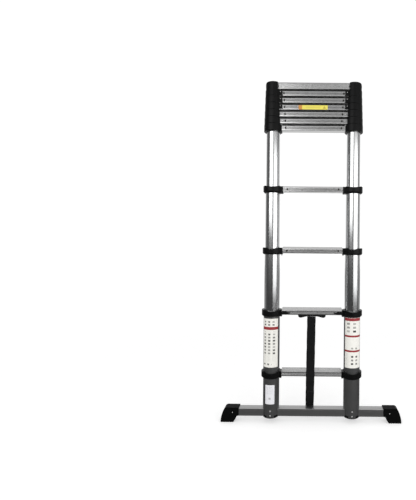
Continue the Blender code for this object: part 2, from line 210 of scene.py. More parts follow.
def finished(holder):
    """The mesh of a holder object with its modifiers applied. The holder is removed."""
    graph = bpy.context.evaluated_depsgraph_get()
    mesh = bpy.data.meshes.new_from_object(holder.evaluated_get(graph))
    bpy.data.objects.remove(holder)
    return mesh


def combined(mesh, tools, operation):
    """Join tool meshes to a mesh, or cut them out of it."""
    holder = add_object(mesh.name, mesh)
    helpers = []
    for tool in tools:
        helper = add_object(tool.name, tool)
        helpers.append(helper)
        modifier = holder.modifiers.new(tool.name, "BOOLEAN")
        modifier.operation = operation
        modifier.object = helper
        modifier.solver = "EXACT"
    result = finished(holder)
    for helper in helpers:
        bpy.data.objects.remove(helper)
    return result


def joined(mesh, tools):
    return combined(mesh, tools, "UNION")


def cut(mesh, tools):
    return combined(mesh, tools, "DIFFERENCE")


def mirrored(mesh):
    """A copy of a mesh, mirrored in X."""
    shape = bmesh.new()
    shape.from_mesh(mesh)
    bmesh.ops.transform(shape, matrix=Matrix.Diagonal((-1, 1, 1, 1)), verts=shape.verts)
    return mesh_from(shape, mesh.name)


def rod(name, centre, direction, radius, length, sides=32, rim=0.0):
    """A round bar centred on a point, along a direction, with a rounded rim."""
    half = length / 2
    outline = [(0.0, half), (radius, half), (radius, -half), (0.0, -half)]
    if rim:
        outline = [outline[0]] + rounded(outline, rim, 3)[4:12] + [outline[3]]
    mesh = turned(name, outline, sides)
    turn = Vector(direction).to_track_quat("Z", "Y").to_matrix().to_4x4()
    mesh.transform(Matrix.Translation(centre) @ turn)
    return mesh


def place(name, mesh, look, body, at=(0.0, 0.0, 0.0), stands_for=()):
    """Put a mesh in the scene as a piece that rides on a body."""
    mesh.name = name
    mesh.shade_smooth()
    mesh.set_sharp_from_angle(angle=math.radians(32))
    mesh.materials.clear()
    mesh.materials.append(look)
    piece = add_object(name, mesh)
    piece.location = at
    level = piece.modifiers.new("even_faces", "WEIGHTED_NORMAL")
    level.keep_sharp = True
    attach(piece, body)
    if stands_for:
        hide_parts(*stands_for)
    return piece


# ---- material helpers ------------------------------------------------
class Nodes:
    """A node tree under construction."""

    def __init__(self, tree):
        self.tree = tree

    def node(self, kind, inputs=None, **settings):
        """Add a node. An input is a value, or another node's output to link."""
        made = self.tree.nodes.new(kind)
        for key, value in settings.items():
            setattr(made, key, value)
        for key, value in (inputs or {}).items():
            self.feed(made.inputs[key], value)
        return made

    def feed(self, socket, value):
        if isinstance(value, bpy.types.NodeSocket):
            self.tree.links.new(value, socket)
        else:
            socket.default_value = value


class Look(Nodes):
    """A material under construction, with short calls for its nodes."""

    def __init__(self, name):
        self.material = bpy.data.materials.new(name)
        self.material.use_nodes = True
        super().__init__(self.material.node_tree)
        self.shader = self.tree.nodes["Principled BSDF"]
        self.place = self.node("ShaderNodeTexCoord").outputs["Object"]

    def math(self, operation, first, second=0.0, third=0.0):
        inputs = {0: first, 1: second, 2: third}
        return self.node("ShaderNodeMath", inputs, operation=operation).outputs[0]

    def times(self, first, second):
        return self.math("MULTIPLY", first, second)

    def within(self, value, low, high):
        """1 where a value is between two limits, otherwise 0."""
        return self.times(self.math("GREATER_THAN", value, low), self.math("LESS_THAN", value, high))

    def surface(self, layer):
        """The two coordinates of a UV map."""
        spots = self.node("ShaderNodeSeparateXYZ", {0: self.node("ShaderNodeUVMap", uv_map=layer).outputs[0]})
        return spots.outputs[0], spots.outputs[1]

    def noise(self, scale, detail=3.0, rough=0.55, stretch=(1.0, 1.0, 1.0)):
        """Noise with its own scale along each axis, in cycles a metre."""
        spread = self.node("ShaderNodeMapping", {"Vector": self.place,
                                                 "Scale": tuple(scale * part for part in stretch)})
        return self.node("ShaderNodeTexNoise", {"Vector": spread.outputs[0], "Scale": 1.0, "Detail": detail,
                                                "Roughness": rough}).outputs["Fac"]

    def ramp(self, value, low, high, from_low=0.0, from_high=1.0):
        """Rescale a value, clamped."""
        return self.node("ShaderNodeMapRange", {"Value": value, "From Min": from_low, "From Max": from_high,
                                                "To Min": low, "To Max": high}).outputs[0]

    def mix(self, share, first, second):
        """Mix two colours."""
        made = self.node("ShaderNodeMix", data_type="RGBA")
        self.feed(made.inputs["Factor"], share)
        for socket, value in ((made.inputs[6], first), (made.inputs[7], second)):
            self.feed(socket, value if isinstance(value, bpy.types.NodeSocket) else (*value, 1.0))
        return made.outputs[2]

    def bump(self, height, distance, strength=1.0, under=None):
        inputs = {"Height": height, "Distance": distance, "Strength": strength}
        if under is not None:
            inputs["Normal"] = under
        return self.node("ShaderNodeBump", inputs).outputs[0]

    def finish(self, color, roughness, normal=None, constants=None):
        """Feed the shader. Constants are set on its own sockets, by name."""
        self.feed(self.shader.inputs["Base Color"],
                  color if isinstance(color, bpy.types.NodeSocket) else (*color, 1.0))
        self.feed(self.shader.inputs["Roughness"], roughness)
        if normal is not None:
            self.feed(self.shader.inputs["Normal"], normal)
        for key, value in (constants or {}).items():
            self.shader.inputs[key].default_value = value
        return self.material


def grey(level, warmth=0.0):
    return (level * (1 + warmth), level, level * (1 - warmth))


def drawn_metal(name, tone, roughness, along, smudge):
    """Extruded aluminium: fine lines along one axis, faint cloudy oxide, a few scratches."""
    look = Look(name)
    stretch = {"x": (0.004, 1.0, 1.0), "z": (1.0, 1.0, 0.004)}[along]
    lines = look.noise(1600.0, 4.0, 0.6, stretch)
    broad = look.noise(260.0, 2.0, 0.5, stretch)
    cloud = look.noise(9.0, 4.0, 0.6)
    scratch = look.noise(420.0, 2.0, 0.5, {"x": (0.05, 0.35, 1.0), "z": (0.35, 1.0, 0.05)}[along])
    scratch = look.ramp(scratch, 0.0, 1.0, 0.68, 0.74)
    shade = look.mix(look.ramp(lines, 0.0, 1.0, 0.3, 0.7), tone, tuple(part * 0.90 for part in tone))
    shade = look.mix(look.ramp(broad, 0.0, 0.5, 0.4, 0.75), shade, tuple(part * 0.93 for part in tone))
    shade = look.mix(look.ramp(cloud, 0.0, 0.35, 0.45, 0.8), shade, tuple(part * 0.86 for part in tone))
    shade = look.mix(look.times(scratch, 0.10), shade, grey(0.9))
    gloss = look.math("MULTIPLY_ADD", lines, 0.10, roughness - 0.05)
    gloss = look.math("MULTIPLY_ADD", cloud, smudge * 2, look.math("SUBTRACT", gloss, smudge))
    relief = look.bump(lines, 0.00002, 0.5)
    return look.finish(shade, gloss, look.bump(broad, 0.00003, 0.5, relief), {"Metallic": 1.0})


def coated_metal():
    """The outer tubes' satin grey coat: fine orange peel, and rubbed streaks that are a little brighter."""
    look = Look("grey_coated_tube")
    peel = look.noise(700.0, 3.0, 0.5)
    fine = look.noise(2600.0, 2.0, 0.6)
    cloud = look.noise(14.0, 4.0, 0.6)
    rub = look.noise(120.0, 3.0, 0.6, (1.0, 1.0, 0.06))
    shade = look.mix(look.ramp(cloud, 0.0, 1.0, 0.35, 0.7), grey(0.205), grey(0.170, -0.02))
    shade = look.mix(look.ramp(fine, 0.0, 0.5, 0.45, 0.7), shade, grey(0.24))
    shade = look.mix(look.ramp(rub, 0.0, 0.45, 0.62, 0.78), shade, grey(0.32))
    gloss = look.math("MULTIPLY_ADD", cloud, 0.12, 0.34)
    relief = look.bump(peel, 0.00006, 0.5)
    return look.finish(shade, gloss, look.bump(fine, 0.00002, 0.5, relief), {"Metallic": 0.88})


def moulded_plastic(name, tone, roughness, grain=1500.0, scuff=0.5, shine=0.14):
    """Moulded nylon or rubber: a fine spark-eroded grain, flow clouds, and pale scuffs."""
    look = Look(name)
    fine = look.noise(grain, 3.0, 0.55)
    cloud = look.noise(35.0, 4.0, 0.6)
    mark = look.noise(260.0, 4.0, 0.7, (1.0, 1.0, 0.3))
    shade = look.mix(look.ramp(cloud, 0.0, 1.0, 0.3, 0.75), grey(tone, -0.03), grey(tone * 1.6, -0.02))
    shade = look.mix(look.ramp(mark, 0.0, scuff, 0.66, 0.85), shade, grey(tone * 5 + 0.02))
    gloss = look.math("MULTIPLY_ADD", fine, 0.16, look.math("MULTIPLY_ADD", cloud, 0.14, roughness - 0.15))
    return look.finish(shade, gloss, look.bump(fine, 0.00006, 0.7), {"Specular IOR Level": shine})


def plated_steel():
    """Zinc-plated screws and rivets."""
    look = Look("plated_steel")
    fine = look.noise(3000.0, 2.0, 0.6)
    cloud = look.noise(400.0, 3.0, 0.6)
    shade = look.mix(cloud, grey(0.92), grey(0.80, 0.02))
    return look.finish(shade, look.ramp(cloud, 0.22, 0.42), look.bump(fine, 0.00002, 0.5), {"Metallic": 1.0})


def webbing():
    """Woven polyester webbing. UV runs across and along the strap, in metres."""
    look = Look("black_webbing")
    across, along = look.surface("weave")
    warp = look.math("SINE", look.times(across, 2 * math.pi / 0.0014))
    turn = look.times(look.math("ADD", along, look.times(across, 0.5)), 2 * math.pi / 0.0018)
    weft = look.math("SINE", turn)
    thread = look.math("MULTIPLY_ADD", look.times(warp, weft), 0.5, 0.5)
    fuzz = look.noise(2500.0, 3.0, 0.7)
    cloud = look.noise(22.0, 3.0, 0.6)
    height = look.math("ADD", thread, look.times(fuzz, 0.5))
    shade = look.mix(thread, grey(0.003, -0.05), grey(0.010, -0.05))
    shade = look.mix(look.ramp(cloud, 0.0, 0.5, 0.4, 0.8), shade, grey(0.014, -0.04))
    gloss = look.ramp(fuzz, 0.72, 0.95)
    return look.finish(shade, gloss, look.bump(height, 0.0003, 0.8),
                       {"Sheen Weight": 0.02, "Sheen Roughness": 0.5, "Specular IOR Level": 0.10})


def thread_look():
    """Sewing thread on the strap."""
    look = Look("black_thread")
    twist = look.noise(3000.0, 2.0, 0.6, (1.0, 1.0, 0.5))
    return look.finish(look.mix(twist, grey(0.02), grey(0.055)), look.ramp(twist, 0.6, 0.8),
                       look.bump(twist, 0.00008, 0.8))


def indicator_look():
    """The dark lock indicators behind the rungs' windows."""
    look = Look("lock_indicator")
    fine = look.noise(1800.0, 2.0, 0.6)
    shade = look.mix(look.ramp(fine, 0.0, 1.0, 0.4, 0.7), grey(0.006, 0.30), grey(0.012, 0.40))
    return look.finish(shade, look.ramp(fine, 0.38, 0.55), look.bump(fine, 0.00004, 0.6),
                       {"Specular IOR Level": 0.2})


def vinyl_finish(look, shade, cloud):
    """End a printed label's material with a slightly uneven sheen."""
    fine = look.noise(1500.0, 2.0, 0.5)
    return look.finish(shade, look.ramp(cloud, 0.32, 0.46), look.bump(fine, 0.00002, 0.4))


def printed_vinyl(name, paper, bands, columns, ruled, specks):
    """A plain printed label. UV runs across and up it, in metres.

    bands: (low, high, colour) stripes across the label.
    columns: (left, right) spans of ruled grey lines, within ruled = (low, high).
    specks: (left, bottom, right, top, spacing across, spacing up) fields of plain marks.
    """
    look = Look(name)
    across, up = look.surface("print")
    cloud = look.noise(40.0, 3.0, 0.6)
    shade = look.mix(look.ramp(cloud, 0.0, 0.5, 0.35, 0.8), paper, tuple(part * 0.93 for part in paper))
    line = look.math("LESS_THAN", look.math("FRACT", look.math("DIVIDE", up, 0.0034)), 0.34)
    for left, right in columns:
        ragged = look.noise(600.0, 1.0, 0.5)
        field = look.times(look.within(across, left, right), look.within(up, *ruled))
        share = look.times(look.times(line, field), look.ramp(ragged, 0.1, 0.6, 0.4, 0.6))
        shade = look.mix(share, shade, grey(0.30))
    for left, bottom, right, top, step_across, step_up in specks:
        cell_across = look.math("DIVIDE", look.math("SUBTRACT", across, left), step_across)
        cell_up = look.math("DIVIDE", look.math("SUBTRACT", up, bottom), step_up)
        cell = look.node("ShaderNodeCombineXYZ", {0: look.math("FLOOR", cell_across),
                                                  1: look.math("FLOOR", cell_up), 2: step_up * 100})
        chance = look.node("ShaderNodeTexWhiteNoise", {"Vector": cell.outputs[0]},
                           noise_dimensions="3D").outputs["Value"]
        mark = look.times(look.within(look.math("FRACT", cell_across), 0.24, 0.72),
                         look.within(look.math("FRACT", cell_up), 0.24, 0.76))
        field = look.times(look.within(across, left, right), look.within(up, bottom, top))
        share = look.times(look.times(mark, field), look.ramp(chance, 0.45, 1.0))
        shade = look.mix(share, shade, grey(0.025))
    for low, high, tone in bands:
        shade = look.mix(look.within(up, low, high), shade, tone)
    return vinyl_finish(look, shade, cloud)


BRIGHT_TUBE = drawn_metal("bright_tube", grey(0.80, -0.008), 0.20, "z", 0.03)
RUNG_METAL = drawn_metal("rung_metal", grey(0.68), 0.26, "x", 0.03)
BAR_METAL = drawn_metal("bar_metal", grey(0.50), 0.37, "x", 0.04)
COAT = coated_metal()
NYLON = moulded_plastic("black_nylon", 0.0028, 0.36, 1500.0, 0.4, 0.16)
LEVER_NYLON = moulded_plastic("lever_nylon", 0.0045, 0.44, 1800.0)
BRACKET_NYLON = moulded_plastic("bracket_nylon", 0.0045, 0.50, 1300.0)
PLUG_NYLON = moulded_plastic("plug_nylon", 0.0045, 0.55, 1200.0)
RUBBER = moulded_plastic("foot_rubber", 0.0022, 0.58, 900.0, 0.30, 0.08)
STEEL = plated_steel()
WEBBING = webbing()
THREAD = thread_look()
INDICATOR = indicator_look()

# ---- strap -----------------------------------------------------------
STRAP_WIDTH = 0.042
STRAP_THICKNESS = 0.0020
STRAP_TOP_X = -0.002       # the strap hangs a little left of the middle
STRAP_END_X = -0.008
STRAP_ROUTE = [            # y, z of the strap's middle line, from the bracket to its hidden end
    (-0.0205, 0.5106), (-0.0208, 0.4900), (-0.0214, 0.4400), (-0.0218, 0.3800), (-0.0219, 0.3200),
    (-0.0218, 0.2700), (-0.0216, 0.2300), (-0.0204, 0.2050), (-0.0150, 0.1750), (-0.0060, 0.1480),
    (0.0050, 0.1220), (0.0150, 0.0980), (0.0210, 0.0780), (0.0232, 0.0560), (0.0232, 0.0300),
]
STRAP_LENGTH = 0.49
STRAP_STEPS = 240
SEAM_AT = 0.372            # how far down the strap its sewn seam is
SEAM_THREADS = 11


def smooth_route(route, count):
    """Points spaced evenly on a smooth curve through a route's points."""
    points = [Vector(point) for point in route]
    ends = [2 * points[0] - points[1]] + points + [2 * points[-1] - points[-2]]
    dense = []
    for index in range(1, len(ends) - 2):
        before, start, end, after = ends[index - 1:index + 3]
        for step in range(20):
            t = step / 20
            dense.append(0.5 * (2 * start + (end - before) * t
                                + (2 * before - 5 * start + 4 * end - after) * t ** 2
                                + (3 * start - before - 3 * end + after) * t ** 3))
    dense.append(points[-1])
    travelled = [0.0]
    for first, second in zip(dense, dense[1:]):
        travelled.append(travelled[-1] + (second - first).length)
    result = []
    index = 0
    for step in range(count):
        target = travelled[-1] * step / (count - 1)
        while index < len(dense) - 2 and travelled[index + 1] < target:
            index += 1
        span = travelled[index + 1] - travelled[index]
        result.append(dense[index].lerp(dense[index + 1], (target - travelled[index]) / span))
    return result


def strap_line(count):
    """The strap's middle line in space. It slants sideways as it goes down."""
    flat = smooth_route(STRAP_ROUTE, count)
    top, end = flat[0].y, flat[-1].y
    return [Vector((STRAP_TOP_X + (STRAP_END_X - STRAP_TOP_X) * (top - point.y) / (top - end),
                    point.x, point.y)) for point in flat]


def strap_frames(line):
    """For each point: the point, the way across the strap, and the way out of its face."""
    frames = []
    for index, point in enumerate(line):
        along = (line[min(index + 1, len(line) - 1)] - line[max(index - 1, 0)]).normalized()
        across = (Vector((1, 0, 0)) - along * along.x).normalized()
        frames.append((point, across, along.cross(across).normalized()))
    return frames


def strap_mesh(line):
    """Webbing with rounded selvedges, thicker where its end is sewn back."""
    frames = strap_frames(line)
    shape = bmesh.new()
    weave = shape.loops.layers.uv.new("weave")
    columns = 28
    rings = []
    places = {}
    for index, (point, across, out) in enumerate(frames):
        travelled = STRAP_LENGTH * index / (len(frames) - 1)
        edge_wave = 0.0005 * math.sin(travelled * 95) * math.sin(travelled * 31)
        half = STRAP_WIDTH / 2 - 0.0006 + edge_wave
        sewn = 0.85 if travelled < SEAM_AT else 1.0
        ring = []
        for side in (1, -1):
            for column in range(columns + 1):
                share = (2 * column / columns - 1) * side
                selvedge = max(0.0, abs(share) - 0.88) / 0.12
                height = STRAP_THICKNESS / 2 * sewn * math.sqrt(max(0.0, 1 - selvedge ** 2))
                if column in (0, columns) and side == -1:
                    continue
                vert = shape.verts.new(point + across * half * share + out * height * side)
                places[vert] = (half * share, travelled)
                ring.append(vert)
        rings.append(ring)
    for first, second in zip(rings, rings[1:]):
        for index in range(len(first)):
            after = (index + 1) % len(first)
            shape.faces.new([first[index], first[after], second[after], second[index]])
    shape.faces.new(rings[0])
    shape.faces.new(rings[-1])
    for face in shape.faces:
        for loop in face.loops:
            loop[weave].uv = places[loop.vert]
    return mesh_from(shape, "strap_webbing")


def seam_mesh(line):
    """A row of stitches across the strap."""
    frames = strap_frames(line)
    point, across, out = frames[round(SEAM_AT / STRAP_LENGTH * (len(frames) - 1))]
    stitches = []
    pitch = (STRAP_WIDTH - 0.004) / SEAM_THREADS
    for row in (0.0, 0.004):
        for index in range(SEAM_THREADS):
            stitch = rod("stitch", (0, 0, 0), (1, 0, 0), 0.0004, pitch * 0.72, 10, 0.0003)
            offset = across * ((index + 0.5) * pitch - STRAP_WIDTH / 2 + 0.002) + out * STRAP_THICKNESS * 0.42
            turn = Matrix((across, -Vector(across).cross(out), out)).transposed().to_4x4()
            stitch.transform(Matrix.Translation(point + offset + Vector((0, 0, row))) @ turn)
            stitches.append(stitch)
    shape = bmesh.new()
    for stitch in stitches:
        shape.from_mesh(stitch)
    return mesh_from(shape, "strap_stitches")


def make_strap():
    line = strap_line(STRAP_STEPS)
    strap = place("strap_webbing", strap_mesh(line), WEBBING, "root", stands_for=("strap",))
    seam = place("strap_stitches", seam_mesh(line), THREAD, "root")


make_strap()


# ---- tubes -----------------------------------------------------------
def tube_outline(radius, bottom, top):
    """Half section of a tube. Its broken edges are flat, so they shade apart from the long faces."""
    bore = radius - TUBE_WALL
    return rounded([(radius, top), (radius, bottom), (bore, bottom), (bore, top)], 0.0004, 1)


def make_slide_tube(number, side, sign):
    node = tube_node(number, side)
    low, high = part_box(node)
    mesh = turned(node, tube_outline(tube_radius(number), 0.0, high.z - low.z))
    place(node + "_drawn", mesh, BRIGHT_TUBE, body_of_rung(number), (sign * TUBE_X, 0.0, low.z),
          (node,))


BAR_LOW, BAR_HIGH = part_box("base_bar")
PLUG_TOP = BAR_LOW.z - SEAT_GAP
TONGUE_HALF_WIDTH = 0.0175      # the outer tube reaches all the way down only this far each way
NOTCH_TOP = BAR_LOW.z + 0.0085  # beside that it is cut back to here, and its plug shows


def make_outer_tube(side, sign):
    """An outer tube with windows for the bar, a pin hole, and bottom edges that are cut back at the sides."""
    node = "outer_tube_" + side
    low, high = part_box(node)
    radius = tube_radius(1)
    mesh = turned(node, tube_outline(radius, low.z, high.z))
    reach = radius + 0.01
    tools = [block("window", (-reach, BAR_LOW.y - SEAT_GAP, BAR_LOW.z - SEAT_GAP),
                   (reach, BAR_HIGH.y + SEAT_GAP, BAR_HIGH.z + SEAT_GAP))]
    tools.append(rod("pin_hole", (-sign * radius, 0.0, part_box("rung_02")[0].z + PIN_HEIGHT), (1, 0, 0),
                     PIN_RADIUS, 0.02))
    for way in (-1, 1):
        start, end = sorted((way * TONGUE_HALF_WIDTH, way * reach))
        tools.append(block("notch", (start, -reach, low.z - 0.01), (end, reach, NOTCH_TOP)))
    place(node + "_coated", cut(mesh, tools), COAT, "root", (sign * TUBE_X, 0.0, 0.0), (node,))


def make_tube_plug(side, sign):
    """The black plug that closes an outer tube under the base bar."""
    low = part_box("outer_tube_" + side)[0].z
    radius = tube_radius(1)
    rim = radius - 0.0001
    mesh = turned("plug", [(0.0, NOTCH_TOP - SEAT_GAP), (rim, NOTCH_TOP - SEAT_GAP), (rim, low + 0.0010),
                           (rim - 0.0011, low), (0.0, low)])
    gap = TONGUE_HALF_WIDTH + SEAT_GAP
    wall_start = math.sqrt((radius - TUBE_WALL) ** 2 - gap ** 2) - SEAT_GAP
    tools = [block("bar", (-0.06, BAR_LOW.y - SEAT_GAP, PLUG_TOP),
                   (0.06, BAR_HIGH.y + SEAT_GAP, PLUG_TOP + 0.05))]
    for way in (-1, 1):
        start, end = sorted((way * wall_start, way * (radius + 0.01)))
        tools.append(block("seat", (-gap, start, low - 0.01), (gap, end, PLUG_TOP + 0.05)))
    place("tube_plug_" + side, cut(mesh, tools), PLUG_NYLON, "root", (sign * TUBE_X, 0.0, 0.0))


# ---- collars ---------------------------------------------------------
FLANGE_THICKNESS = 0.0042
FLANGED_RUNG = 5                 # the highest rung with a neck and a flange
TONGUED_RUNGS = (3, 4, 5)        # a tongue hangs from the front of their flanges
TONGUE_DROP = 0.011              # its tip is this far below the rung's underside
TONGUE_THICKNESS = 0.0032
COVERED_RUNGS = (8, 9, 10)       # their ends are covered at the front by a plate of the collar
COVER_INNER_X = 0.1510
COVER_THICKNESS = 0.003
COVER_TOP = 0.022                # above the rung's underside
COVER_SCREW = (0.161, 0.0175)    # distance from the middle, and height above the rung's underside
RUNG_DEPTH = 0.038
AT_RUNG_FRONT = -RUNG_DEPTH / 2 - SEAT_GAP   # Y where a collar's plate or tab lies against a rung
COVER_FRONT = -RUNG_DEPTH / 2 - COVER_THICKNESS - SEAT_GAP
CAP_POINT_FRONT = -RUNG_DEPTH / 2 - 0.0021
CAP_HEIGHT = 0.035
CAP_ROOF = 0.006
CAP_CORNER = 0.014               # rounding of a cap's outer top corner, seen from the front
FRONT_DIP = 0.0060               # how far the single collars' top edge dips at the front
FRONT_DIP_HALF_WIDTH = 0.034


def collar_taper(number):
    """How far in, and how far up, a collar's lower edge is tapered."""
    if number <= 2:
        return 0.0072, 0.0068
    if number <= 4:
        return 0.0062, 0.0062
    return 0.0016, 0.0018


def collar_outline(number):
    """Half section of a collar: a plain sleeve, a sleeve with a top lip, or a closed cap."""
    outer = collar_radius(number)
    seat = tube_radius(number) + SEAT_GAP
    taper_in, taper_up = collar_taper(number)
    foot = [(outer, taper_up), (outer - taper_in, 0.0), (seat, 0.0)]
    if number == RUNG_COUNT:
        roof = CAP_HEIGHT - CAP_ROOF
        rim = rounded([(outer - 0.01, CAP_HEIGHT), (outer, CAP_HEIGHT), (outer, CAP_HEIGHT - 0.01)],
                      0.0030, 5)
        return [(0.0, CAP_HEIGHT)] + rim[6:12] + rounded(foot, 0.0008, 2)[3:] + [(seat, roof), (0.0, roof)]
    if number < FIXED_RUNGS:
        return rounded([(outer, COLLAR_HEIGHT)] + foot + [(seat, COLLAR_HEIGHT)], 0.0012, 3)
    lip = tube_radius(number + 1) + BUSH_GAP
    step = COLLAR_HEIGHT - COLLAR_LIP
    return rounded([(outer, COLLAR_HEIGHT)] + foot + [(seat, step), (lip, step), (lip, COLLAR_HEIGHT)],
                   0.0012, 3)


def front_scallop():
    """A lying cylinder that hollows the front of a collar's top edge."""
    radius = (FRONT_DIP_HALF_WIDTH ** 2 + FRONT_DIP ** 2) / (2 * FRONT_DIP)
    return rod("scallop", (0.0, -0.05, COLLAR_HEIGHT - FRONT_DIP + radius), (0, 1, 0), radius, 0.099, 160)


def cap_silhouette(flat):
    """A cap's outline seen from the front: level on top, with its outer corner rounded."""
    reach = collar_radius(RUNG_COUNT) + 0.0002
    arc = [(reach - CAP_CORNER * (1 - math.cos(angle)), CAP_HEIGHT - CAP_CORNER * (1 - math.sin(angle)))
           for angle in (math.pi / 2 * step / 16 for step in range(17))]
    return prism("silhouette", [(reach, -0.001)] + arc + [(flat - 0.001, CAP_HEIGHT), (flat - 0.001, -0.001)],
                 -0.06, 0.06, "y")


def flange_blocks(number, face, inside):
    """The neck and flange of a collar, with the tongue on some of them."""
    half = RUNG_DEPTH / 2
    front = -half - FLANGE_THICKNESS / 2
    outline = [(front, 0.0), (half, 0.0), (half, COLLAR_HEIGHT), (front, COLLAR_HEIGHT)]
    neck = block("neck", (face + 0.001, -half, 0.0003), (inside, half, COLLAR_HEIGHT - 0.0003))
    flange = prism("flange", rounded(outline, 0.0030, 5), face, face + FLANGE_THICKNESS, "x")
    blocks = [bevelled(neck, 0.0012), bevelled(flange, 0.0008)]
    if number in TONGUED_RUNGS:
        tip = front - SEAT_GAP
        end = collar_drop(number) - TONGUE_DROP
        outline = [(tip - TONGUE_THICKNESS, end), (tip, end), (tip, 0.0004), (front + 0.001, 0.0004),
                   (front + 0.001, 0.0140), (tip - TONGUE_THICKNESS * 0.6, 0.0100)]
        tongue = prism("tongue", rounded(outline, 0.0010, 3), face + 0.0003,
                       face + FLANGE_THICKNESS - 0.0003, "x")
        blocks.append(bevelled(tongue, 0.0005))
    return blocks


def cover_block(number, inside):
    """The front plate of a collar over its rung's end, with a pointed lower inner corner."""
    start = COVER_INNER_X - TUBE_X
    low = collar_drop(number) + (0.0030 if number == min(COVERED_RUNGS) else 0.0004)
    high = collar_drop(number) + COVER_TOP
    outline = [(start - 0.0025, low), (inside, low), (inside, high), (start, high), (start, low + 0.006)]
    return bevelled(prism("cover", rounded(outline, 0.0012, 4), COVER_FRONT, AT_RUNG_FRONT, "y"), 0.0006)


def cap_point(flat, inside):
    """The small pointed tab of a top cap over its rung's end."""
    middle, reach = 0.019, 0.0045
    outline = [(flat - reach, middle), (inside, middle - 0.007), (inside, middle + 0.007)]
    return prism("cap_point", rounded(outline, 0.0006, 3), CAP_POINT_FRONT, AT_RUNG_FRONT, "y")


def collar_mesh(number):
    """A right-hand collar about its own tube's axis, its underside at height 0."""
    flat = -collar_flat(number)
    face = rung_half_length(number) + SEAT_GAP - TUBE_X
    inside = flat + COLLAR_INNER_WALL / 2
    mesh = turned("collar", collar_outline(number))
    tools = [block("flat", (flat - 0.06, -0.06, -0.01), (flat, 0.06, CAP_HEIGHT + 0.01))]
    if number < FLANGED_RUNG:
        tools.append(front_scallop())
    mesh = cut(mesh, tools)
    if number == RUNG_COUNT:
        mesh = combined(mesh, [cap_silhouette(flat)], "INTERSECT")
        mesh = joined(mesh, [cap_point(flat, inside)])
    if number <= FLANGED_RUNG:
        mesh = joined(mesh, flange_blocks(number, face, inside))
    if number in COVERED_RUNGS:
        mesh = joined(mesh, [cover_block(number, inside)])
    if number == FIXED_RUNGS:
        pin_height = collar_drop(number) + PIN_HEIGHT
        mesh = cut(mesh, [rod("pin_bore", (flat - 0.01, 0.0, pin_height), (1, 0, 0), PIN_RADIUS, 0.060)])
    return mesh


def make_collars(number):
    """Both collars of a rung, with the screws of their covers."""
    right = collar_mesh(number)
    low = rung_low(number)
    for side, sign in SIDES:
        node = collar_node(number, side)
        mesh = right.copy() if sign > 0 else mirrored(right)
        place(node + "_moulded", mesh, NYLON, body_of_rung(number),
              (sign * TUBE_X, 0.0, low - collar_drop(number)), (node,))
        if number in COVERED_RUNGS:
            place("cover_screw_%02d_%s" % (number, side), screw_mesh(0.0022, 0.0010), STEEL,
                  body_of_rung(number), (sign * COVER_SCREW[0], COVER_FRONT, low + COVER_SCREW[1]))


# ---- fasteners -------------------------------------------------------
def dome_mesh(radius, height):
    """A rivet's domed head, facing -Y, with a short shank behind it."""
    steps = 6
    dome = [(radius * math.cos(math.pi / 2 * step / steps), height * math.sin(math.pi / 2 * step / steps))
            for step in range(steps)]
    mesh = turned("rivet", [(0.0, height)] + dome[::-1] + [(radius, -0.0002), (radius * 0.6, -0.0002),
                                                         (radius * 0.6, -0.0015), (0.0, -0.0015)], 28)
    mesh.transform(Matrix.Rotation(math.pi / 2, 4, "X"))
    return mesh


def screw_mesh(radius, height):
    """A pan-head screw facing -Y, with a cross recess."""
    mesh = dome_mesh(radius, height)
    size, depth = radius * 0.62, height * 0.55
    for along, across in ((size, size * 0.28), (size * 0.28, size)):
        recess = block("recess", (-along, -height - 0.001, -across), (along, -height + depth, across))
        mesh = cut(mesh, [recess])
    return mesh


# ---- rungs -----------------------------------------------------------
RUNG_WALL = 0.0020
FRONT_HEIGHT = 0.0225
TOP_FRONT_HEIGHT = 0.0318
WINDOW_SIZE = (0.0066, 0.0100)
WINDOW_HEIGHT = 0.0125           # centre of a lock window above the rung's underside
WINDOW_FROM_TUBE = 0.0283        # from a stacked rung's tube to its lock windows
NECKED_WINDOW_RUNGS = (3, 4)     # the two single rungs that have lock windows
NECKED_WINDOW_X = 0.1234
PLAIN_RIVET_X = 0.1385           # rivets of the first rung
LEVER_SLOT_X = (0.104, 0.121)    # the second rung's slots for the lever stems
LEVER_SLOT_HEIGHT = (0.0055, 0.0125)
RIVET_OUT = 0.0144               # from a lock window to the rivet beside it


def ribbed(start, end, grooves, depth, margin=0.18):
    """Points along a straight run with V grooves cut to its right, seen along the run."""
    start, end = Vector(start), Vector(end)
    run = end - start
    inward = Vector((run.y, -run.x)).normalized() * -depth
    pitch = 1.0 / grooves
    points = [start]
    for index in range(grooves):
        for share, level in ((margin, 0), (0.5, 1), (1 - margin, 0)):
            points.append(start + run * (index + share) * pitch + inward * level)
    return [tuple(point) for point in points + [end]]


def rung_outline(front, rear):
    """Section of a rung in Y and Z: a ribbed front between plain strips, a ribbed tread rising backwards."""
    half = RUNG_DEPTH / 2
    step_y = -half + 0.0125
    step_z = front + (rear - front) * 0.66
    outline = [(-half + 0.0012, 0.0)]
    outline += [(half - 0.0015, 0.0), (half, 0.0015), (half, rear - 0.0015), (half - 0.0015, rear)]
    outline += ribbed((half - 0.003, rear - 0.0001), (step_y + 0.001, step_z + 0.0001), 7, 0.0006)
    outline += [(step_y, step_z), (-half + 0.0022, front), (-half + 0.0005, front - 0.0009)]
    outline += [(-half, front - 0.0024), (-half, front - 0.0052), (-half + 0.0005, front - 0.0056)]
    outline += ribbed((-half + 0.0005, front - 0.0060), (-half + 0.0005, 0.0060), 6, 0.0004)
    outline += [(-half + 0.0005, 0.0056), (-half, 0.0050), (-half, 0.0012), (-half + 0.0004, 0.0004)]
    return outline


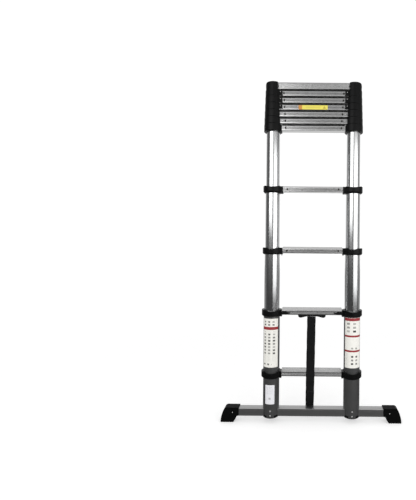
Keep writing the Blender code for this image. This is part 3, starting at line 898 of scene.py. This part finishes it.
def hollow_outline(front, rear):
    """Section of a rung's hollow."""
    half = RUNG_DEPTH / 2 - RUNG_WALL - 0.0006
    rise = (rear - front) * 0.60
    return rounded([(-half, RUNG_WALL), (half, RUNG_WALL), (half, rear - RUNG_WALL),
                    (-half + 0.012, front + rise - RUNG_WALL - 0.0008), (-half, front - RUNG_WALL - 0.0010)],
                   0.0010, 3)


def window_x(number):
    """Distance from the middle to a rung's lock windows, or None where it has none."""
    if number in NECKED_WINDOW_RUNGS:
        return NECKED_WINDOW_X
    if FLANGED_RUNG <= number < RUNG_COUNT:
        return TUBE_X - tube_radius(number) - WINDOW_FROM_TUBE
    return None


def rivet_x(number):
    """Distance from the middle to a rung's rivets, or None where it has none."""
    if number == 1:
        return PLAIN_RIVET_X
    across = window_x(number)
    return across + RIVET_OUT if across and number not in COVERED_RUNGS else None


def make_rung(number):
    """A hollow ribbed rung, with its lock windows, indicators and rivets."""
    node = "rung_%02d" % number
    low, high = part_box(node)
    body = body_of_rung(number)
    end_x = rung_half_length(number)
    front = TOP_FRONT_HEIGHT if number == RUNG_COUNT else FRONT_HEIGHT
    mesh = prism(node, rung_outline(front, high.z - low.z), -end_x, end_x, "x")
    tools = [prism("hollow", hollow_outline(front, high.z - low.z), -end_x - 0.01, end_x + 0.01, "x")]
    across = window_x(number)
    half = RUNG_DEPTH / 2
    if across:
        width, height = WINDOW_SIZE
        for way in (-1, 1):
            tools.append(block("window", (way * across - width / 2, -half - 0.01, WINDOW_HEIGHT - height / 2),
                               (way * across + width / 2, -half + 0.008, WINDOW_HEIGHT + height / 2)))
    if number == FIXED_RUNGS:
        for way in (-1, 1):
            start, end = sorted(way * edge for edge in LEVER_SLOT_X)
            tools.append(block("slot", (start, -half - 0.01, LEVER_SLOT_HEIGHT[0]),
                               (end, -half + 0.008, LEVER_SLOT_HEIGHT[1])))
    place(node + "_ribbed", cut(mesh, tools), RUNG_METAL, body, (0.0, 0.0, low.z), (node,))
    for side, sign in SIDES:
        if across:
            place("lock_indicator_%02d_%s" % (number, side), indicator_mesh(), INDICATOR, body,
                  (sign * across, -half, low.z + WINDOW_HEIGHT))
        rivet = rivet_x(number)
        if rivet:
            place("rung_rivet_%02d_%s" % (number, side), dome_mesh(0.0021, 0.0009), STEEL, body,
                  (sign * rivet, -half + 0.0004, low.z + WINDOW_HEIGHT))


def indicator_mesh():
    """The dark slider behind a lock window, its face just behind the rung's."""
    width, height = WINDOW_SIZE
    plate = block("indicator", (-width / 2 - 0.001, 0.0026, -height / 2 - 0.001),
                  (width / 2 + 0.001, 0.0040, height / 2 + 0.001))
    nose = bevelled(block("nose", (-width / 2 + 0.0003, 0.0006, -height / 2 + 0.0003),
                          (width / 2 - 0.0003, 0.0030, height / 2 - 0.0003)), 0.0004)
    return joined(plate, [nose])


# ---- thumb levers ----------------------------------------------------
LEVER_INNER_X = 0.111            # inner end of the thumb piece and of the lock pin
LEVER_X = 0.126                  # where the lever is placed
LEVER_REACH = 0.1440             # the thumb piece's outer end, just short of the flange
LEVER_STEM_X = 0.117
LEVER_RISE = 0.0082              # half height of the thumb piece
LEVER_MIDDLE = 0.007             # the lever's middle above its own underside


def thumb_outline(inner, outer, rise):
    """A lever's outline about its middle: pointed inside, full outside."""
    upper = [(inner, 0.0), (inner + 0.006, rise * 0.55), (inner + 0.014, rise * 0.95), (inner + 0.020, rise),
             (outer - 0.002, rise * 0.86), (outer, rise * 0.60)]
    return rounded(upper + [(across, -up) for across, up in reversed(upper[1:])], 0.0025, 4)


def make_lever(side, sign):
    """A thumb piece with ridges, its stem, and the lock pin behind it."""
    node = "release_lever_" + side
    low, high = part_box(node)
    front = low.y
    outline = thumb_outline(LEVER_INNER_X - LEVER_X, LEVER_REACH - LEVER_X, LEVER_RISE)
    mesh = bevelled(prism("thumb", outline, 0.0007, 0.0050, "y"), 0.0010, 3)
    ridges = []
    for step in range(-2, 3):
        across = step * 0.0042
        rise = 0.0032 + step * 0.0005
        ridges.append(bevelled(block("ridge", (across - 0.0006, 0.0, -rise), (across + 0.0006, 0.0020, rise)),
                               0.0004))
    mesh = joined(mesh, ridges)
    stem_x = LEVER_STEM_X - LEVER_X
    stem = block("stem", (stem_x - 0.003, 0.0048, -0.003), (stem_x + 0.003, -front + 0.002, 0.003))
    pin_start = LEVER_INNER_X - LEVER_X
    pin_end = (high.x if sign > 0 else -low.x) - LEVER_X
    pin = rod("pin", ((pin_start + pin_end) / 2, -front, 0.0), (1, 0, 0), 0.0040, pin_end - pin_start,
              32, 0.0008)
    mesh = joined(mesh, [stem, pin])
    if sign < 0:
        mesh = mirrored(mesh)
    place(node + "_moulded", mesh, LEVER_NYLON, "lever_" + side,
          (sign * LEVER_X, front, low.z + LEVER_MIDDLE), (node,))


# ---- base bar and feet -----------------------------------------------
def make_base_bar():
    """A hollow bar with rounded corners, two drawn lines on its face and a front third that slopes."""
    low, high = BAR_LOW, BAR_HIGH
    slope_start, drop = low.y + 0.013, 0.0006
    wall = 0.0022
    outline = rounded([(low.y, low.z), (high.y, low.z), (high.y, high.z), (slope_start, high.z),
                       (low.y, high.z - drop)], 0.0015, 5)
    lines = [block("line", (low.x - 0.01, low.y - 0.01, height - 0.0004),
                   (high.x + 0.01, low.y + 0.0004, height + 0.0004))
             for height in (low.z + 0.0050, high.z - 0.0075)]
    step = block("step", (low.x - 0.01, slope_start - 0.0004, high.z - 0.0005),
                 (high.x + 0.01, slope_start + 0.0004, high.z + 0.01))
    hollow = prism("hollow", rounded([(low.y + wall, low.z + wall), (high.y - wall, low.z + wall),
                                      (high.y - wall, high.z - wall), (low.y + wall, high.z - wall - drop)],
                                     0.0015, 3), low.x - 0.01, high.x + 0.01, "x")
    bar = cut(prism("base_bar", outline, low.x, high.x, "x"), [hollow, step] + lines)
    bar.transform(Matrix.Translation((0.0, 0.0, -low.z)))
    place("base_bar_drawn", bar, BAR_METAL, "root", (0.0, 0.0, low.z), ("base_bar",))


FOOT_OUTLINE = [           # x, z of the right foot, counter-clockwise seen from the front
    (0.3740, 0.0000), (0.4330, 0.0000), (0.4348, 0.0030), (0.4342, 0.0120), (0.4325, 0.0240),
    (0.4290, 0.0370), (0.4235, 0.0530), (0.4180, 0.0640), (0.4130, 0.0690), (0.4070, 0.0705),
    (0.3480, 0.0705), (0.3480, 0.0315), (0.3580, 0.0290), (0.3620, 0.0180), (0.3690, 0.0070),
]
FOOT_SCREW = (0.378, 0.047)      # x, z
FOOT_LINES = (0.0625, 0.0190)    # heights of the lines across its face
GROOVE_COUNT = 6
GROOVE_START = 0.381
GROOVE_PITCH = 0.0088
GROOVE_WIDTH = 0.0028
GROOVE_DEPTH = 0.0022


def make_foot(side, sign):
    """A rubber foot: a socket on the bar, two lines across its face and a grooved sole."""
    node = "foot_" + side
    low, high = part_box(node)
    mesh = bevelled(prism(node, rounded(FOOT_OUTLINE, 0.0022, 4), low.y, high.y, "y"), 0.0014, 3)
    grooves = []
    for index in range(GROOVE_COUNT):
        start = GROOVE_START + index * GROOVE_PITCH
        grooves.append(block("groove", (start, low.y - 0.01, -0.01),
                             (start + GROOVE_WIDTH, high.y + 0.01, GROOVE_DEPTH)))
    for height in FOOT_LINES:
        line = block("line", (0.3400, low.y - 0.01, height), (0.4400, low.y + 0.0007, height + 0.0012))
        grooves.append(bevelled(line, 0.0003, 1))
    socket_end = BAR_HIGH.x + SEAT_GAP
    grooves.append(block("socket", (0.330, BAR_LOW.y - SEAT_GAP, BAR_LOW.z - SEAT_GAP),
                         (socket_end, BAR_HIGH.y + SEAT_GAP, BAR_HIGH.z + SEAT_GAP)))
    mesh = cut(mesh, grooves)
    if sign < 0:
        mesh = mirrored(mesh)
    place(node + "_moulded", mesh, RUBBER, "root", stands_for=(node,))
    place("foot_screw_" + side, screw_mesh(0.0028, 0.0014), STEEL, "root",
          (sign * FOOT_SCREW[0], low.y + 0.0004, FOOT_SCREW[1]))


# ---- strap bracket ---------------------------------------------------
BRACKET_LEVEL = 0.020            # half its level middle
BRACKET_END = 0.010              # length of a rounded end
BRACKET_SCREW = (0.036, -0.004, 0.0092)     # out, forward, and down from the bracket's top


def make_strap_bracket():
    """The bracket under the second rung: thin in the middle, with rounded ends that droop."""
    low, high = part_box("strap_bracket")
    thick, droop = 0.0060, 0.0125
    reach = high.x
    steps = 14
    right_half = []
    for step in range(steps + 1):
        across = BRACKET_LEVEL + (reach - BRACKET_END - BRACKET_LEVEL) * step / steps
        fall = thick + (droop - thick) * math.sin(math.pi / 2 * step / steps) ** 2
        right_half.append((across, high.z - fall))
    right_half += [(reach - 0.003, high.z - droop * 0.72), (reach, high.z - 0.0020), (reach - 0.002, high.z)]
    left_half = [(-across, up) for across, up in reversed(right_half)]
    mesh = bevelled(prism("bracket", left_half + right_half, low.y, high.y, "y"), 0.0012, 3)
    place("strap_bracket_moulded", mesh, BRACKET_NYLON, "root", stands_for=("strap_bracket",))
    for side, sign in SIDES:
        screw = screw_mesh(0.0036, 0.0016)
        screw.transform(Matrix.Rotation(math.pi / 2, 4, "X"))
        place("bracket_screw_" + side, screw, STEEL, "root",
              (sign * BRACKET_SCREW[0], BRACKET_SCREW[1], high.z - BRACKET_SCREW[2]))


# ---- labels ----------------------------------------------------------
LABEL_THICKNESS = 0.00015


def label_rim(rows):
    """The outermost places of a label's rows, in order round it."""
    return (rows[0] + [row[-1] for row in rows[1:]] + rows[-1][-2::-1]
            + [row[0] for row in reversed(rows[1:-1])])


def label_shell(name, point_at, width, height, corner):
    """A thin label. point_at gives a point and its normal from places across and up."""
    shape = bmesh.new()
    layer = shape.loops.layers.uv.new("print")
    columns = 40
    heights = [corner * (1 - math.cos(math.pi / 2 * step / 6)) for step in range(7)]
    levels = heights + [height - value for value in reversed(heights)]
    sheets = []
    for lift in (0.0, LABEL_THICKNESS):
        rows = []
        for level in levels:
            near = min(level, height - level)
            inset = corner - math.sqrt(max(0.0, corner ** 2 - (corner - min(near, corner)) ** 2))
            row = []
            for column in range(columns + 1):
                across = inset + (width - 2 * inset) * column / columns
                point, normal = point_at(across, level)
                row.append((shape.verts.new(Vector(point) + Vector(normal) * lift), (across, level)))
            rows.append(row)
        sheets.append(rows)

    def face(corners):
        made = shape.faces.new([vert for vert, _ in corners])
        for loop, (_, spot) in zip(made.loops, corners):
            loop[layer].uv = spot

    for rows in sheets:
        for first, second in zip(rows, rows[1:]):
            for index in range(columns):
                face([first[index], first[index + 1], second[index + 1], second[index]])
    back, skin = (label_rim(rows) for rows in sheets)
    for index in range(len(back)):
        after = (index + 1) % len(back)
        face([back[index], back[after], skin[after], skin[index]])
    return mesh_from(shape, name)


def tube_label(name, sign, start, end, low, high, look):
    """A label on the front of an outer tube, between two angles from straight ahead, positive to +X."""
    radius = tube_radius(1) + 0.0001
    width = radius * math.radians(end - start)

    def point_at(across, up):
        angle = math.radians(start) + across / radius
        normal = (math.sin(angle), -math.cos(angle), 0.0)
        return (radius * normal[0], radius * normal[1], up), normal

    mesh = label_shell(name, point_at, width, high - low, 0.0035)
    place(name, mesh, look, "root", (sign * TUBE_X, 0.0, low))


def make_labels():
    """Plain stand-ins for the printed labels: bands, ruled lines and marks that say nothing."""
    white = (0.80, 0.79, 0.74)
    red = (0.30, 0.025, 0.030)
    left = printed_vinyl("left_label_print", white, [(0.1790, 0.1930, red)],
                         [(0.006, 0.022), (0.030, 0.044), (0.052, 0.068)], (0.030, 0.150),
                         [(0.004, 0.060, 0.072, 0.170, 0.0230, 0.0150),
                          (0.006, 0.196, 0.070, 0.226, 0.0210, 0.0140),
                          (0.004, 0.008, 0.050, 0.022, 0.0200, 0.0140)])
    tube_label("label_left", -1, -66, 56, 0.269, 0.501, left)
    right = printed_vinyl("right_label_print", white,
                          [(0.2240, 0.2380, red), (0.1470, 0.1560, red), (0.0760, 0.0850, red)],
                          [(0.004, 0.018)], (0.012, 0.070),
                          [(0.030, 0.012, 0.074, 0.066, 0.0210, 0.0170),
                           (0.006, 0.166, 0.070, 0.216, 0.0300, 0.0180),
                           (0.030, 0.086, 0.074, 0.104, 0.0200, 0.0160)])
    tube_label("label_right", 1, -61, 69, 0.269, 0.508, right)
    small = printed_vinyl("small_label_print", (0.76, 0.76, 0.79), [], [(0.006, 0.038)], (0.046, 0.084),
                          [(0.012, 0.018, 0.036, 0.036, 0.0220, 0.0180)])
    tube_label("label_small", -1, -38, 30, 0.094, 0.185, small)
    make_rung_label()


def make_rung_label():
    """The yellow strip on the eighth rung, with a plain orange end."""
    number = 8
    low = rung_low(number)
    start, end = -0.073, 0.067
    height = 0.0205
    look = Look("yellow_label_print")
    across, up = look.surface("print")
    cloud = look.noise(60.0, 3.0, 0.6)
    shade = look.mix(look.ramp(cloud, 0.0, 0.6, 0.35, 0.8), (0.72, 0.63, 0.10), (0.62, 0.54, 0.09))
    for level in (0.0075, 0.0125):
        row = look.math("LESS_THAN", look.math("ABSOLUTE", look.math("SUBTRACT", up, level)), 0.0011)
        span = look.within(across, 0.036, 0.104)
        shade = look.mix(look.times(look.times(row, span), 0.5), shade, (0.28, 0.25, 0.06))
    shade = look.mix(look.math("LESS_THAN", across, 0.017), shade, (0.50, 0.22, 0.04))
    tip = look.math("ADD", look.math("ABSOLUTE", look.math("SUBTRACT", across, 0.124)), look.times(up, 0.55))
    inside = look.times(look.math("LESS_THAN", tip, 0.0098), look.math("GREATER_THAN", up, 0.004))
    shade = look.mix(look.times(inside, 0.75), shade, (0.30, 0.24, 0.03))
    vinyl_finish(look, shade, cloud)

    def point_at(place_across, place_up):
        return (place_across, 0.0, place_up), (0.0, -1.0, 0.0)

    mesh = label_shell("label_rung", point_at, end - start, height, 0.0012)
    place("label_rung", mesh, look.material, body_of_rung(number),
          (start, -RUNG_DEPTH / 2 - 0.00002, low + 0.0010))


# ---- making the ladder -----------------------------------------------
BOLT_HEIGHTS = (0.0605, 0.0380)  # two bolts at the front of each outer tube's foot

make_base_bar()
make_strap_bracket()
for side_name, side_sign in SIDES:
    make_outer_tube(side_name, side_sign)
    make_tube_plug(side_name, side_sign)
    make_foot(side_name, side_sign)
    make_lever(side_name, side_sign)
    for height in BOLT_HEIGHTS:
        place("tube_bolt_%s_%02d" % (side_name, round(height * 1000)), screw_mesh(0.0040, 0.0024), STEEL,
              "root", (side_sign * TUBE_X, -tube_radius(1) + 0.0003, height))
    for rung_number in range(FIXED_RUNGS + 1, RUNG_COUNT + 1):
        make_slide_tube(rung_number, side_name, side_sign)
for rung_number in range(1, RUNG_COUNT + 1):
    make_collars(rung_number)
    make_rung(rung_number)
make_labels()


# ---- studio ----------------------------------------------------------
def staged_plane(name, height, look):
    """A large level plane that belongs to the studio."""
    shape = bmesh.new()
    bmesh.ops.create_grid(shape, x_segments=8, y_segments=8, size=14.0)
    mesh = bpy.data.meshes.new(name)
    shape.to_mesh(mesh)
    shape.free()
    mesh.materials.append(look)
    plane = add_object(name, mesh)
    plane.location.z = height
    return plane


def make_floor():
    """A pale floor for the shadows, brighter away from the ladder, and one that only shiny parts mirror."""
    look = Look("floor")
    distance = look.node("ShaderNodeVectorMath", {0: look.place}, operation="LENGTH").outputs["Value"]
    away = look.ramp(distance, 0.0, 1.0, 0.3, 3.2)
    cloud = look.noise(3.0, 2.0, 0.5)
    look.feed(look.shader.inputs["Emission Color"], look.mix(away, grey(0.46), grey(1.0)))
    pale = look.finish(look.mix(away, look.mix(cloud, grey(0.80), grey(0.78)), grey(0.03)), 0.9, None,
                       {"Emission Strength": 1.0, "Specular IOR Level": 0.0})
    floor = staged_plane("floor", -0.0005, pale)
    floor.visible_glossy = False
    look = Look("mirrored_floor")
    spot = look.node("ShaderNodeSeparateXYZ", {0: look.place})
    aside, back = look.math("ABSOLUTE", spot.outputs[0]), spot.outputs[1]
    front = look.mix(look.ramp(back, 0.0, 1.0, -2.2, -0.3), grey(0.04), grey(0.09))
    behind = look.mix(look.ramp(aside, 0.0, 1.0, 0.7, 2.2), grey(0.90), grey(0.22))
    behind = look.mix(look.ramp(back, 0.0, 1.0, 1.5, 3.5), grey(0.30), behind)
    glow = look.mix(look.ramp(back, 0.0, 1.0, 0.1, 1.2), front, behind)
    look.feed(look.shader.inputs["Emission Color"], glow)
    dim = look.finish(grey(0.0), 1.0, None, {"Emission Strength": 1.0, "Specular IOR Level": 0.0})
    mirrored_floor = staged_plane("mirrored_floor", -0.0015, dim)
    mirrored_floor.visible_camera = False
    mirrored_floor.visible_diffuse = False
    mirrored_floor.visible_shadow = False
    mirrored_floor.visible_transmission = False


def soft_light(name, azimuth, distance, height, width, tall, power):
    """A rectangular soft light facing the ladder. Azimuth 0 is straight in front, positive to +X."""
    data = bpy.data.lights.new(name, "AREA")
    data.shape = "RECTANGLE"
    data.size = width
    data.size_y = tall
    data.energy = power
    light = add_object(name, data)
    angle = math.radians(azimuth)
    light.location = (distance * math.sin(angle), -distance * math.cos(angle), height)
    light.rotation_euler = (math.pi / 2, 0.0, angle)
    light.visible_camera = False


def even(level):
    """A plain grey for a world node."""
    return (level, level, level, 1.0)


def make_world():
    """A white surround for the camera, soft fill for matt surfaces, and a graded room for reflections."""
    world = bpy.data.worlds.new("studio")
    world.use_nodes = True
    world.node_tree.nodes.clear()
    node = Nodes(world.node_tree).node
    direction = node("ShaderNodeSeparateXYZ", {0: node("ShaderNodeTexCoord").outputs["Generated"]})
    depth = node("ShaderNodeMapRange", {"Value": direction.outputs[1], "From Min": -0.5, "From Max": 0.9})
    front_to_back = node("ShaderNodeValToRGB", {"Fac": depth.outputs[0]})
    stops = front_to_back.color_ramp.elements
    for stop, (spot, level) in zip((stops[0], stops[1]), ((0.0, 0.12), (1.0, 0.80))):
        stop.position = spot
        stop.color = even(level)
    for spot, level in ((0.28, 0.10), (0.62, 0.14), (0.82, 0.60)):
        stops.new(spot).color = even(level)
    ahead = node("ShaderNodeMapRange", {"Value": direction.outputs[1], "From Min": -0.60, "From Max": -0.88})
    above = node("ShaderNodeMapRange", {"Value": direction.outputs[2], "From Min": 0.04, "From Max": 0.30})
    wall = node("ShaderNodeMath", {0: ahead.outputs[0], 1: above.outputs[0]}, operation="MULTIPLY")
    rise = node("ShaderNodeMapRange", {"Value": direction.outputs[2], "From Min": 0.45, "From Max": 0.85})
    aside = node("ShaderNodeMapRange", {"Value": direction.outputs[0], "From Min": 0.25, "From Max": 0.90,
                                        "To Min": 0.0, "To Max": 0.20})
    paler = node("ShaderNodeMix", {"Factor": aside.outputs[0], 6: front_to_back.outputs[0], 7: even(1.0)},
                 data_type="RGBA", blend_type="ADD")
    upper_wall = node("ShaderNodeMix", {"Factor": wall.outputs[0], 6: paler.outputs[2], 7: even(0.54)},
                      data_type="RGBA")
    graded = node("ShaderNodeMix", {"Factor": rise.outputs[0], 6: upper_wall.outputs[2], 7: even(0.75)},
                  data_type="RGBA")
    room = node("ShaderNodeBackground", {"Color": graded.outputs[2], "Strength": 1.0})
    fill = node("ShaderNodeBackground", {"Color": even(1.0), "Strength": 0.60})
    white = node("ShaderNodeBackground", {"Color": even(1.0), "Strength": 1.05})
    ray = node("ShaderNodeLightPath")
    lit = node("ShaderNodeMixShader",
               {0: ray.outputs["Is Glossy Ray"], 1: fill.outputs[0], 2: room.outputs[0]})
    seen = node("ShaderNodeMixShader",
                {0: ray.outputs["Is Camera Ray"], 1: lit.outputs[0], 2: white.outputs[0]})
    node("ShaderNodeOutputWorld", {"Surface": seen.outputs[0]})
    bpy.context.scene.world = world


make_floor()
soft_light("soft_right", azimuth=44, distance=2.2, height=1.16, width=2.6, tall=1.60, power=20.6)
soft_light("soft_left", azimuth=-30, distance=2.2, height=1.74, width=1.9, tall=1.30, power=15.5)
make_world()
bpy.context.scene.view_settings.view_transform = "Standard"
